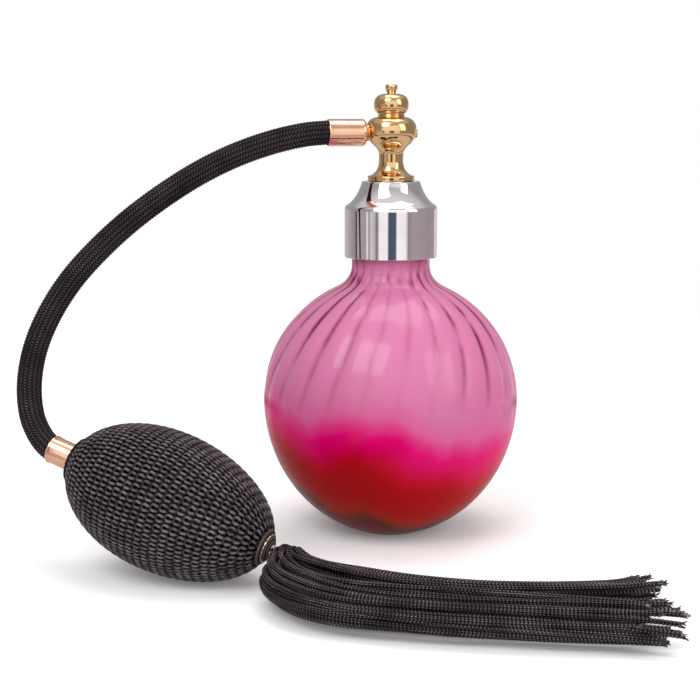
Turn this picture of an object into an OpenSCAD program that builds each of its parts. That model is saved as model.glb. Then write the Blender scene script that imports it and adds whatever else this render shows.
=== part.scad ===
// Squeeze-bulb perfume atomizer: a round glass bottle closed by a screw collar, with a turned
// metal spray head, an air hose, a rubber bulb in a knitted net, and a tassel.
// Millimetres. +Z is up, the origin is at the centre of the bottle's base, and the hose leaves
// towards -X. The bulb and the tassel lie on the surface that the bottle stands on.

/* [Bottle] */
// Largest radius of the glass body
body_r = 38; // [36:0.5:40]
// Height of the widest level above the base
body_mid_h = 40; // [39.5:0.5:40.5]
// Thickness of the glass at the widest level
glass_wall = 3; // [2:0.5:4]
// Thickness of the glass under the contents
base_wall = 6; // [4:1:7]
// Outer radius of the visible neck
neck_r = 11.6; // [11.4:0.1:11.8]
// Height of the lip that the gasket seals on
lip_h = 95.5; // [95.3:0.1:95.5]

/* [Collar] */
// Outer radius of the collar's straight wall
collar_r = 13.7; // [13.7:0.1:14.3]
// Height of the collar's lower edge above the base
collar_low_h = 82.5; // [82.3:0.1:83]
// Sheet thickness of the collar
collar_wall = 0.8; // [0.6:0.1:0.8]

/* [Head] */
// Largest radius of the head's ball
ball_r = 7.5; // [7.4:0.1:7.8]
// Direction in which the hose leaves the head, measured from -X towards -Y
hose_turn = 12; // [11.5:0.5:12.5]

/* [Hose] */
// Outer radius of the braided sleeve
hose_r = 3.6; // [3.5:0.05:3.6]
// Radius of the air passage in the rubber liner
hose_bore_r = 2.1; // [2.1:0.1:2.3]

/* [Bulb] */
// Largest radius of the knitted bulb
bulb_b = 19; // [18:0.5:19]
// Thickness of the rubber bladder's wall
rubber_t = 1.6; // [1.2:0.1:2.4]

/* [Tassel] */
// Radius of the tassel's wrapped head
wrap_r = 4.1; // [3.8:0.1:4.3]
// Width of the skirt as a share of its normal width
skirt_fullness = 1; // [0.8:0.05:1.1]

/* [Hidden] */

$fn = 48;
cut = 1;          // how far a cutting tool runs past the face that it opens
gap = 0.05;       // assembly clearance between fixed pieces
run_gap = 0.08;   // radial clearance of a turning piece

// Bottle: one half ellipse below the widest level, another above it, and a straight neck
body_low = body_mid_h + 1.5;
body_up = 36.8;
shoulder_r = 16.5;
neck_start_h = 80;
finish_h = 84;
finish_r = 10.2;
thread_r = 10.7;
thread_h = 90.2;
neck_bore_r = 7.2;
inner_r = body_r - glass_wall;
inner_low = body_mid_h - base_wall;
inner_up = body_up - glass_wall;
inner_shoulder_r = 13;

// Seals on the lip, from below: gasket, tube plug, swivel seal
gasket_h = lip_h + gap;
gasket_r = 9.3;
plug_h = gasket_h + 1.3 + gap;
plug_top_h = plug_h + 1.4;
plug_r = 9.2;
plug_stem_r = 2.8;
plug_stem_h = 93.5;
cup_r = 5.2;
cup_top_h = plug_h + 4.1;
seal_top_h = cup_top_h + 0.5;
tube_r = 1.5;
tube_bore_r = 1;
tube_low_h = 9;
tube_top_h = 103;

// Collar and its threaded insert
collar_top_h = 104.7;
collar_top_r = 8.6;
edge_h = 96.4;
edge_r = collar_r - 0.8;
insert_bore_r = 11;
insert_low_h = 84.8;
plate_h = plug_top_h + 0.25;
plate_top_h = plate_h + 1.8;
plate_bore_r = cup_r + 0.3;

// Head
tail_r = 3.62;
tail_h = plug_top_h + 0.3;
flange_h = collar_top_h + 0.1;
flange_r = 6.9;
stem_r = 3.6;
ball_h = 119.2;
ring_h = 123.4;
ring_r = 3.9;
finial_h = 124.3;
stud_r = 1.5;
stud_h = 121;
finial_r = 5.1;
finial_mid = 2.6;       // its ball's widest level above its seat
knob_r = 1.95;
knob_top = 8.5;
nut_h = seal_top_h + gap;
nut_r = 6.2;

// Air and liquid passages in the head; x is measured from its axis towards the hose.
spigot_h = 118.9;
air_r = 1.45;
liquid_r = 0.9;
liquid_step_h = 104;
socket_r = 1.95;
socket_x = 4.95;
seat_r = 2.6;
seat_x = 6.95;
nozzle_r = 1.65;
nozzle_x = 5.4;
nozzle_face_x = 7.35;
spray_r = 0.3;

// Hose fittings
barb_r = 1.9;
barb_bore_r = 0.8;
barb_end_x = 15.6;
groove_x = 7.4;
ferrule_bore_r = hose_r + gap;
ferrule_x = 7.8;
ferrule_end_x = 19;
ferrule_wall = 0.9;
sleeve_t = 0.55;
liner_gap = 0.08;

// Bulb: x is measured along its axis from its middle, towards the tassel.
bulb_a = 31;
bulb_c = [-61, -50, 20.2];
bulb_pitch = 18;        // how far the axis slopes down
bulb_yaw = 22;          // how far the axis turns from +X towards -Y
bulb_axis = [cos(bulb_pitch) * cos(bulb_yaw), -cos(bulb_pitch) * sin(bulb_yaw), -sin(bulb_pitch)];
egg = 0.05;             // share by which the hose end is fuller than the tassel end
net_t = 1.2;
mouth_r = 4.3;
valve_r = 3;
valve_flange_r = 4.1;
valve_x = 21;
valve_flange_x = 29.9;
chamber_r = 1.75;
ball_bearing_r = 1.3;
valve_lift = 1.2;
seat_depth = sqrt(pow(ball_bearing_r, 2) - pow(barb_bore_r, 2)) + gap;
outlet_seat_x = -23;
intake_seat_x = 27;
pin_r = 0.35;
pin_reach = seat_depth + valve_lift + ball_bearing_r + pin_r + gap;
nose_r = 1.6;
nose_x = bulb_a + 1;
loop_r = 0.5;

// Route of the hose's centreline, from inside the head's ferrule to inside the bulb's ferrule
route = [
    [-8.8, -1.9, 118.9], [-14, -3, 118.9], [-19, -4, 118.9], [-26, -5.4, 118.2],
    [-35, -7, 116.1], [-45, -8.7, 112.6], [-55, -10.4, 107.8], [-65, -12.4, 101.6],
    [-75, -14.6, 94.2], [-84, -16.8, 86], [-91.5, -19.1, 77.6], [-97.5, -21.5, 68.2],
    [-101.4, -24, 58.6], [-102.8, -27, 49.2], [-101.7, -30.6, 41], [-98.8, -33.9, 35.5],
    [-95.4, -36.1, 32.3], [-92.2, -37.4, 31.1], [-89.3, -38.6, 30.1]
];
hose_sides = 10;
hose_steps = 2;

// Tassel: the skirt's stations are where its middle lies, its width and its height.
tassel_pivot = bulb_c + (bulb_a + 2) * bulb_axis;
knot_r = 0.75;
knot_h = 1.4;
tassel_pitch = 24;
tassel_yaw = 50;
wrap_x = [0.8, 3.4, 7];
wrap_end_r = 3.6;
wrap_axis =
    [cos(tassel_pitch) * cos(tassel_yaw), -cos(tassel_pitch) * sin(tassel_yaw), -sin(tassel_pitch)];
skirt_start_r = 3.5;
skirt_start_x = wrap_x[2] + 0.02;
skirt_stations = [
    [tassel_pivot + skirt_start_x * wrap_axis, 2 * skirt_start_r, 2 * skirt_start_r],
    [[-27.6, -69.7, 6.6], 14, 11], [[-26.2, -74, 6.5], 20, 12.4],
    [[-21.4, -80.8, 6.5], 25, 12.8], [[-12.5, -87.4, 6.4], 28, 12.4], [[0.5, -92, 6.1], 27, 11.8],
    [[18, -95, 5.8], 28, 11.2], [[37, -95.8, 5.5], 33, 10.6], [[54, -95.3, 5.2], 37, 10.2],
    [[67, -94.9, 5], 40, 9.8]
];
skirt_sides = 16;

// ---- curves ----

// A quadratic curve from a to c, drawn towards b
function bend(a, b, c, n = 8) =
    [for (i = [0:n]) let (t = i / n) (1 - t) * (1 - t) * a + 2 * t * (1 - t) * b + t * t * c];

// An arc of an ellipse with half-width r and half-height h around the level mid
function oval(r, h, mid, from, to, n = 14) =
    [for (i = [0:n]) let (a = from + (to - from) * i / n) [r * cos(a), mid + h * sin(a)]];

// Half of an egg's outline, as [radius, x]
module egg_half(a, b, n = 36) {
    polygon([for (i = [0:n]) let (x = -cos(180 * i / n)) [b * sin(180 * i / n) * (1 - egg * x), a * x]]);
}

function unit(v) = v / norm(v);
function clamped(list, i) = list[min(max(i, 0), len(list) - 1)];
function smooth(p0, p1, p2, p3, t) =
    (2 * p1 + (p2 - p0) * t + (2 * p0 - 5 * p1 + 4 * p2 - p3) * t * t
        + (3 * p1 - p0 - 3 * p2 + p3) * t * t * t) / 2;

// A smooth line through points, with n steps from each point to the next
function smooth_line(points, n) = concat(
    [for (i = [0:len(points) - 2], k = [0:n - 1])
        smooth(clamped(points, i - 1), points[i], points[i + 1], clamped(points, i + 2), k / n)],
    [points[len(points) - 1]]);
function heading(line, i) = unit(clamped(line, i + 1) - clamped(line, i - 1));

// ---- sweeps ----

// Corners of a round section of the hose; its line never runs along +Y.
function hose_ring(line, i, r) =
    let (t = heading(line, i), u = unit(cross(t, [0, 1, 0])), v = cross(t, u))
    [for (k = [0:hose_sides - 1])
        line[i] + r * (cos(360 * k / hose_sides) * u + sin(360 * k / hose_sides) * v)];

// Side faces between rings of corners that follow each other in one list of points
function side_faces(rings, sides) =
    [for (i = [0:rings - 2], k = [0:sides - 1])
        let (a = i * sides + k, b = i * sides + (k + 1) % sides)
        each [[a, a + sides, b + sides], [a, b + sides, b]]];

// A closed tube along the hose's line, between an inner and an outer radius
module hose_tube(r_in, r_out) {
    line = smooth_line(route, hose_steps);
    rings = len(line);
    outside = [for (i = [0:rings - 1]) each hose_ring(line, i, r_out)];
    inside = [for (i = [0:rings - 1]) each hose_ring(line, i, r_in)];
    shift = len(outside);
    end = shift - hose_sides;
    walls = side_faces(rings, hose_sides);
    bore = [for (f = walls) [f[2] + shift, f[1] + shift, f[0] + shift]];
    lips = [for (k = [0:hose_sides - 1]) let (j = (k + 1) % hose_sides)
        each [[k, j, j + shift], [k, j + shift, k + shift],
            [end + k, end + k + shift, end + j + shift], [end + k, end + j + shift, end + j]]];
    polyhedron(concat(outside, inside), concat(walls, bore, lips));
}

// ---- frames ----

// Local +X is the direction in which the hose leaves the head.
module in_head_frame() translate([0, 0, spigot_h]) rotate([0, 0, 180 + hose_turn]) children();

// Local +X is the bulb's axis.
module in_bulb_frame() translate(bulb_c) rotate([0, bulb_pitch, -bulb_yaw]) children();

// Local +X runs through the tassel's wrapped head, away from the bulb.
module in_wrap_frame() translate(tassel_pivot) rotate([0, tassel_pitch, -tassel_yaw]) children();

// A drawing in [radius, x], turned round the local x axis
module turned_x() rotate([0, 90, 0]) rotate_extrude() children();

// A bar along the local x axis
module bar_x(r, from, to) translate([from, 0, 0]) rotate([0, 90, 0]) cylinder(r = r, h = to - from);

// A flat ring around Z
module washer(r_in, r_out, low, high) {
    difference() {
        translate([0, 0, low]) cylinder(r = r_out, h = high - low);
        translate([0, 0, low - cut]) cylinder(r = r_in, h = high - low + 2 * cut);
    }
}

// ---- bottle and its closure ----

module bottle() {
    foot_a = asin(body_mid_h / body_low);
    shoulder_a = acos(shoulder_r / body_r);
    inner_shoulder_a = acos(inner_shoulder_r / inner_r);
    shoulder_h = body_mid_h + body_up * sin(shoulder_a);
    inner_shoulder_h = body_mid_h + inner_up * sin(inner_shoulder_a);
    outside = concat(
        [[0, 0]],
        oval(body_r, body_low, body_mid_h, -foot_a, 0),
        oval(body_r, body_up, body_mid_h, 5, shoulder_a),
        bend([shoulder_r, shoulder_h + 0.02], [neck_r, shoulder_h + 2.3], [neck_r, neck_start_h]),
        [[neck_r, finish_h], [finish_r, finish_h + 0.6], [finish_r, thread_h],
            [thread_r, thread_h + 0.8], [thread_r, thread_h + 1.8], [finish_r, thread_h + 2.6],
            [finish_r, lip_h - 0.4], [finish_r - 0.4, lip_h], [0, lip_h]]);
    inside = concat(
        oval(inner_r, inner_low, body_mid_h, -90, 0),
        oval(inner_r, inner_up, body_mid_h, 5, inner_shoulder_a),
        bend([inner_shoulder_r, inner_shoulder_h + 0.02], [neck_bore_r, inner_shoulder_h + 2.5],
            [neck_bore_r, neck_start_h]),
        [[neck_bore_r, lip_h + cut], [0, lip_h + cut]]);
    color("hotpink", 0.5) rotate_extrude() difference() {
        polygon(outside);
        polygon(inside);
    }
}

module neck_gasket() {
    color("whitesmoke") washer(plug_stem_r + 0.2, gasket_r, gasket_h, plug_h - gap);
}

// Holds the dip tube and carries the head's tail in its cup
module tube_plug() {
    color("white") difference() {
        union() {
            translate([0, 0, plug_stem_h]) cylinder(r = plug_stem_r, h = plug_h - plug_stem_h + gap);
            translate([0, 0, plug_h]) cylinder(r = plug_r, h = plug_top_h - plug_h);
            translate([0, 0, plug_h]) cylinder(r = cup_r, h = cup_top_h - plug_h);
        }
        translate([0, 0, plug_stem_h - cut]) cylinder(r = tube_r + gap, h = cup_top_h);
        translate([0, 0, plug_top_h]) cylinder(r = tail_r + run_gap, h = cup_top_h);
    }
}

module swivel_seal() {
    color("dimgray") washer(tail_r + run_gap, cup_r - 0.1, cup_top_h + gap, seal_top_h);
}

module dip_tube() {
    color("white", 0.6) washer(tube_bore_r, tube_r, tube_low_h, tube_top_h);
}

module collar_insert() {
    color("white") rotate_extrude() polygon([
        [insert_bore_r, insert_low_h], [edge_r - gap, insert_low_h], [edge_r - gap, edge_h - 0.1],
        [edge_r - 2.3, plug_top_h], [edge_r - 3.7, plate_top_h], [plate_bore_r, plate_top_h],
        [plate_bore_r, plate_h], [plug_r + 0.3, plate_h], [plug_r + 0.3, edge_h], [insert_bore_r, edge_h]
    ]);
}

module collar_shell() {
    skin = collar_r - collar_wall;
    color("silver") rotate_extrude() polygon(concat(
        [[skin, collar_low_h], [collar_r, collar_low_h]],
        bend([collar_r, edge_h], [collar_r, edge_h + 1.1], [edge_r, edge_h + 1.4], 4),
        bend([edge_r - 0.01, edge_h + 1.41], [edge_r - 2.8, edge_h + 3.2], [collar_top_r, collar_top_h]),
        [[tail_r + run_gap, collar_top_h], [tail_r + run_gap, collar_top_h - collar_wall]],
        bend([collar_top_r - collar_wall, collar_top_h - collar_wall],
            [edge_r - 2.8 - collar_wall, edge_h + 2.8], [skin - 0.9, edge_h + 0.7]),
        [[skin, edge_h]]
    ));
}

// ---- spray head ----

module head_body() {
    color("goldenrod") difference() {
        rotate_extrude() polygon(concat(
            [[0, tail_h], [tail_r, tail_h], [tail_r, flange_h], [flange_r - 0.3, flange_h],
                [flange_r, flange_h + 0.3], [flange_r, flange_h + 1.2], [flange_r - 0.3, flange_h + 1.5]],
            bend([flange_r - 0.8, flange_h + 1.6], [stem_r, flange_h + 2.8], [stem_r, flange_h + 5.8]),
            bend([stem_r, ball_h - 6.8], [stem_r, ball_h - 5.3], [stem_r + 1.5, ball_h - 4.1]),
            bend([stem_r + 1.51, ball_h - 4.09], [ball_r, ball_h - 2], [ball_r, ball_h]),
            bend([ball_r, ball_h + 0.01], [ball_r, ring_h - 0.8], [ring_r + 0.7, ring_h - 0.05]),
            [[ring_r, ring_h], [ring_r, finial_h - gap], [0, finial_h - gap]]
        ));
        translate([0, 0, tail_h - cut]) cylinder(r = tube_r + 0.1, h = liquid_step_h - tail_h + cut);
        translate([0, 0, tail_h]) cylinder(r = liquid_r, h = spigot_h - tail_h);
        translate([0, 0, stud_h - 0.2]) cylinder(r = stud_r + gap, h = finial_h - stud_h + cut);
        in_head_frame() {
            bar_x(air_r, -nozzle_x - gap, socket_x + gap);
            bar_x(nozzle_r + gap, -ball_r - cut, -nozzle_x);
            bar_x(socket_r, socket_x, ball_r + cut);
            bar_x(seat_r, seat_x, ball_r + cut);
        }
    }
}

// Holds the head down in the collar
module head_nut() {
    color("goldenrod") washer(tail_r + 0.02, nut_r, nut_h, nut_h + 1.6);
}

// Small ball and knob on a threaded stud
module finial() {
    color("goldenrod") rotate_extrude() polygon(concat(
        [[0, stud_h], [stud_r, stud_h], [stud_r, finial_h], [ring_r, finial_h]],
        bend([ring_r + 0.1, finial_h + 0.1], [finial_r, finial_h + 0.9], [finial_r, finial_h + finial_mid]),
        bend([finial_r, finial_h + finial_mid + 0.01], [finial_r, finial_h + 5.3], [2.4, finial_h + 5.8]),
        [[knob_r - 0.25, finial_h + 6.1]],
        bend([knob_r, finial_h + 6.8], [knob_r + 0.15, finial_h + knob_top - 0.1], [0, finial_h + knob_top])
    ));
}

module nozzle_insert() {
    color("gold") in_head_frame() difference() {
        bar_x(nozzle_r, -nozzle_face_x, -nozzle_x - gap);
        bar_x(spray_r, -nozzle_face_x - cut, 0);
        bar_x(nozzle_r / 2, -nozzle_face_x - cut, -nozzle_face_x + 0.4);
    }
}

// Fine tube that carries the air past the liquid channel to the nozzle
module air_jet() {
    color("khaki") in_head_frame() turned_x() polygon([
        [0.4, -nozzle_x + 0.4], [0.8, -nozzle_x + 0.4], [0.8, 3.4],
        [air_r - gap, 3.4], [air_r - gap, socket_x - gap], [0.4, socket_x - gap]
    ]);
}

// Barbed fitting in the ball, with a grooved ring where it meets the ball
module spigot() {
    rim_r = seat_r - 0.1;
    color("gold") in_head_frame() turned_x() polygon([
        [barb_bore_r, socket_x + gap], [socket_r - gap, socket_x + gap], [socket_r - gap, seat_x + gap],
        [rim_r, seat_x + gap], [rim_r, groove_x - 0.15], [rim_r - 0.35, groove_x], [rim_r, groove_x + 0.15],
        [rim_r, ferrule_x - gap], [barb_r, ferrule_x - gap], [barb_r, barb_end_x - 0.6],
        [barb_r - 0.4, barb_end_x], [barb_bore_r, barb_end_x]
    ]);
}

// ---- hose ----

module head_ferrule() {
    outer_r = ferrule_bore_r + 0.3;
    hole_r = barb_r + gap;
    color("peru") in_head_frame() turned_x() polygon(concat(
        [[hole_r, ferrule_x]],
        bend([outer_r - 1.2, ferrule_x], [outer_r, ferrule_x], [outer_r, ferrule_x + 1.2], 5),
        [[outer_r, ferrule_end_x], [ferrule_bore_r, ferrule_end_x],
            [ferrule_bore_r, ferrule_x + ferrule_wall], [hole_r, ferrule_x + ferrule_wall]]
    ));
}

module hose_liner() {
    color("dimgray") hose_tube(hose_bore_r, hose_r - sleeve_t - liner_gap);
}

module hose_sleeve() {
    color("black") hose_tube(hose_r - sleeve_t, hose_r);
}

module bulb_ferrule() {
    outer_r = ferrule_bore_r + 0.2;
    hole_r = barb_r + gap;
    color("peru") in_bulb_frame() turned_x() polygon([
        [ferrule_bore_r, -bulb_a - 7.5], [outer_r, -bulb_a - 7.5], [outer_r, -bulb_a - 0.4],
        [outer_r - 0.3, -bulb_a], [hole_r, -bulb_a], [hole_r, -bulb_a - ferrule_wall],
        [ferrule_bore_r, -bulb_a - ferrule_wall]
    ]);
}

// ---- bulb ----

// Pin across a valve's chamber that holds its ball near the seat
module stop_pin(seat_at) {
    reach = chamber_r + gap;
    translate([seat_at - pin_reach, 0, -reach]) cylinder(r = pin_r, h = 2 * reach);
}

// Barbed fitting with a ball that opens towards the hose when the bulb is squeezed
module outlet_valve() {
    color("tan") in_bulb_frame() {
        difference() {
            union() {
                bar_x(barb_r, -bulb_a - 6.5, -valve_flange_x);
                bar_x(valve_flange_r, -bulb_a + gap, -valve_flange_x);
                bar_x(valve_r, -valve_flange_x - gap, -valve_x);
            }
            bar_x(barb_bore_r, -bulb_a - 6.5 - cut, 0);
            bar_x(chamber_r, -valve_flange_x + 0.9, outlet_seat_x);
        }
        stop_pin(outlet_seat_x);
    }
}

module outlet_ball() {
    color("silver") in_bulb_frame() translate([outlet_seat_x - seat_depth, 0, 0]) sphere(r = ball_bearing_r);
}

// Hollow bladder with a thick neck around each valve
module bulb_rubber() {
    a = bulb_a - net_t - 0.1;
    b = bulb_b - net_t - 0.1;
    neck_len = 5;
    neck_end = a - 1.2;
    color("darkslategray") in_bulb_frame() turned_x() difference() {
        egg_half(a, b);
        difference() {
            egg_half(a - rubber_t, b - rubber_t);
            for (x = [-neck_end, neck_end - neck_len]) translate([0, x]) square([valve_r + 1.6, neck_len]);
        }
        translate([0, -a - cut]) square([valve_r + gap, 2 * (a + cut)]);
        for (x = [-a - cut, neck_end]) translate([0, x]) square([valve_r + 3, a + cut - neck_end]);
    }
}

module bulb_net() {
    color("black") in_bulb_frame() turned_x() difference() {
        egg_half(bulb_a, bulb_b);
        egg_half(bulb_a - net_t, bulb_b - net_t);
        translate([0, -bulb_a - cut]) square([mouth_r, 2 * (bulb_a + cut)]);
    }
}

// Tail fitting with a ball that lets air in when the bulb fills out again
module intake_valve() {
    color("tan") in_bulb_frame() {
        difference() {
            union() {
                bar_x(valve_r, valve_x, valve_flange_x + gap);
                bar_x(valve_flange_r, valve_flange_x, bulb_a - gap);
                bar_x(nose_r, bulb_a - 2 * gap, nose_x);
            }
            bar_x(barb_bore_r, 0, nose_x + cut);
            bar_x(chamber_r, valve_x - cut, intake_seat_x);
        }
        stop_pin(intake_seat_x);
    }
}

module intake_ball() {
    color("silver") in_bulb_frame() translate([intake_seat_x - seat_depth, 0, 0]) sphere(r = ball_bearing_r);
}

// ---- tassel ----

// Cord tied round the valve's nose
module tassel_loop() {
    color("black") in_bulb_frame() turned_x()
        translate([nose_r + gap + loop_r, nose_x - loop_r]) circle(r = loop_r);
}

// Wrapped head, with a short throat and the knot that it swings about
module tassel_wrap() {
    throat_r = 0.6;
    color("black") {
        in_wrap_frame() turned_x() polygon(concat(
            [[0, 0], [throat_r, 0], [throat_r, wrap_x[0]]],
            bend([1.2, wrap_x[0] + 0.01], [wrap_r, wrap_x[0] + 0.3], [wrap_r, wrap_x[1]]),
            bend([wrap_r, wrap_x[1] + 0.01], [wrap_r, wrap_x[2] - 1.2], [wrap_end_r, wrap_x[2]]),
            [[0, wrap_x[2]]]
        ));
        translate(tassel_pivot) cylinder(r = knot_r, h = knot_h, center = true);
    }
}

// The fan of cords as one solid that lies on the surface
module tassel_skirt() {
    middles = [for (s = skirt_stations) s[0]];
    rings = len(middles);
    corners = [for (i = [0:rings - 1])
        let (t = i == 0 ? wrap_axis : heading(middles, i), side = unit([t[1], -t[0], 0]))
        let (s = skirt_stations[i], up = i == 0 ? cross(side, t) : [0, 0, 1])
        for (k = [0:skirt_sides - 1])
            let (a = 360 * k / skirt_sides)
            s[0] + skirt_fullness * s[1] / 2 * cos(a) * side + s[2] / 2 * sin(a) * up];
    first = [for (k = [0:skirt_sides - 1]) k];
    last = [for (k = [skirt_sides - 1:-1:0]) (rings - 1) * skirt_sides + k];
    color("black") polyhedron(corners, concat(side_faces(rings, skirt_sides), [first, last]));
}

bottle();
neck_gasket();
tube_plug();
swivel_seal();
dip_tube();
collar_insert();
collar_shell();
head_body();
head_nut();
finial();
nozzle_insert();
air_jet();
spigot();
head_ferrule();
hose_liner();
hose_sleeve();
bulb_ferrule();
outlet_valve();
outlet_ball();
bulb_rubber();
bulb_net();
intake_valve();
intake_ball();
tassel_loop();
tassel_wrap();
tassel_skirt();
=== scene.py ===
"""Looks of the squeeze-bulb perfume bottle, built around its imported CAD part. Metres, in the CAD frame."""

import math
import random

import bmesh
import bpy
import numpy as np
from mathutils import Matrix, Vector


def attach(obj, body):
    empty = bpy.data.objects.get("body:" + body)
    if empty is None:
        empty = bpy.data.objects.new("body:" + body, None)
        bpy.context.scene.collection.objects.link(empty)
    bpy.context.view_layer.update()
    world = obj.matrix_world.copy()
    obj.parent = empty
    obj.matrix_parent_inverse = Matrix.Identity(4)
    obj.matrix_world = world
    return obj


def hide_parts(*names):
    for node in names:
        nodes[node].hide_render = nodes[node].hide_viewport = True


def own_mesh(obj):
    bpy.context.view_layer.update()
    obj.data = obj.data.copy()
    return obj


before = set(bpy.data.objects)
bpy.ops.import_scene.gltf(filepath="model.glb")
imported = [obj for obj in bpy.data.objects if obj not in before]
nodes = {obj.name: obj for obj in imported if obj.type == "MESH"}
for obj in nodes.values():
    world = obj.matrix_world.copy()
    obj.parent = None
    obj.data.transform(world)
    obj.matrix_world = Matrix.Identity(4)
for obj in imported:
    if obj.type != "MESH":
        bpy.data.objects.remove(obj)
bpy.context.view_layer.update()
MM = 0.001
TAU = 2 * math.pi
rng = random.Random(11)

# ---- camera ----

scene = bpy.context.scene
camera_data = bpy.data.cameras.new("camera")
camera_data.lens = 78.08
camera_data.sensor_width = 36
camera_data.clip_start = 0.01
camera = bpy.data.objects.new("camera", camera_data)
scene.collection.objects.link(camera)
camera.location = (-0.0121, -0.450, 0.125)
camera_aim = Vector((-0.0121, 0, 0.0543)) - camera.location
camera.rotation_euler = camera_aim.to_track_quat("-Z", "Y").to_euler()
scene.camera = camera
scene.view_settings.view_transform = "Standard"

# ---- curves ----


def bend(a, b, c, n=16):
    """A quadratic curve from a to c, drawn towards b."""
    a, b, c = (np.array(p, float) for p in (a, b, c))
    t = np.linspace(0, 1, n + 1)[:, None]
    return list((1 - t) ** 2 * a + 2 * t * (1 - t) * b + t * t * c)


def oval(r, h, mid, start, end, n):
    """An arc of an ellipse, r wide and h high around the level mid, between two angles in degrees."""
    a = np.radians(np.linspace(start, end, n + 1))
    return list(np.stack([r * np.cos(a), mid + h * np.sin(a)], 1))


def smooth_line(points, n):
    """A smooth line through points, with n steps from each point to the next."""
    p = np.array(points, float)
    p = np.vstack([p[0], p, p[-1]])
    out = []
    for i in range(len(points) - 1):
        p0, p1, p2, p3 = p[i : i + 4]
        for k in range(n):
            t = k / n
            cubic = (3 * p1 - p0 - 3 * p2 + p3) * t**3
            square = (2 * p0 - 5 * p1 + 4 * p2 - p3) * t * t
            out.append((2 * p1 + (p2 - p0) * t + square + cubic) / 2)
    out.append(p[-1])
    return np.array(out)


def lengths_along(line):
    steps = np.linalg.norm(np.diff(line, axis=0), axis=1)
    return np.concatenate([[0], np.cumsum(steps)])


def resample(line, count):
    """The same line with count points at even distances."""
    s = lengths_along(line)
    at = np.linspace(0, s[-1], count)
    return np.stack([np.interp(at, s, line[:, k]) for k in range(3)], 1)


def placed(points, matrix):
    """Points, or grids of them, moved by a matrix."""
    m = np.array(matrix)
    return points @ m[:3, :3].T + m[:3, 3]


def frames_along(line, up=(0, 0, 1)):
    """Headings and two cross directions at each point, turned as little as possible along the line."""
    t = np.gradient(line, axis=0)
    t /= np.linalg.norm(t, axis=1)[:, None]
    u = np.cross(t[0], np.array(up, float))
    if np.linalg.norm(u) < 1e-3:
        u = np.cross(t[0], (0, 1, 0))
    u /= np.linalg.norm(u)
    us = [u]
    for i in range(1, len(t)):
        u = us[-1] - t[i] * (us[-1] @ t[i])
        us.append(u / np.linalg.norm(u))
    us = np.array(us)
    return t, us, np.cross(t, us)


def spokes(a, b, angles):
    """Directions at some angles round each point of a line, from its two cross directions."""
    return np.cos(angles)[None, :, None] * a[:, None] + np.sin(angles)[None, :, None] * b[:, None]


# ---- meshes ----


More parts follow.
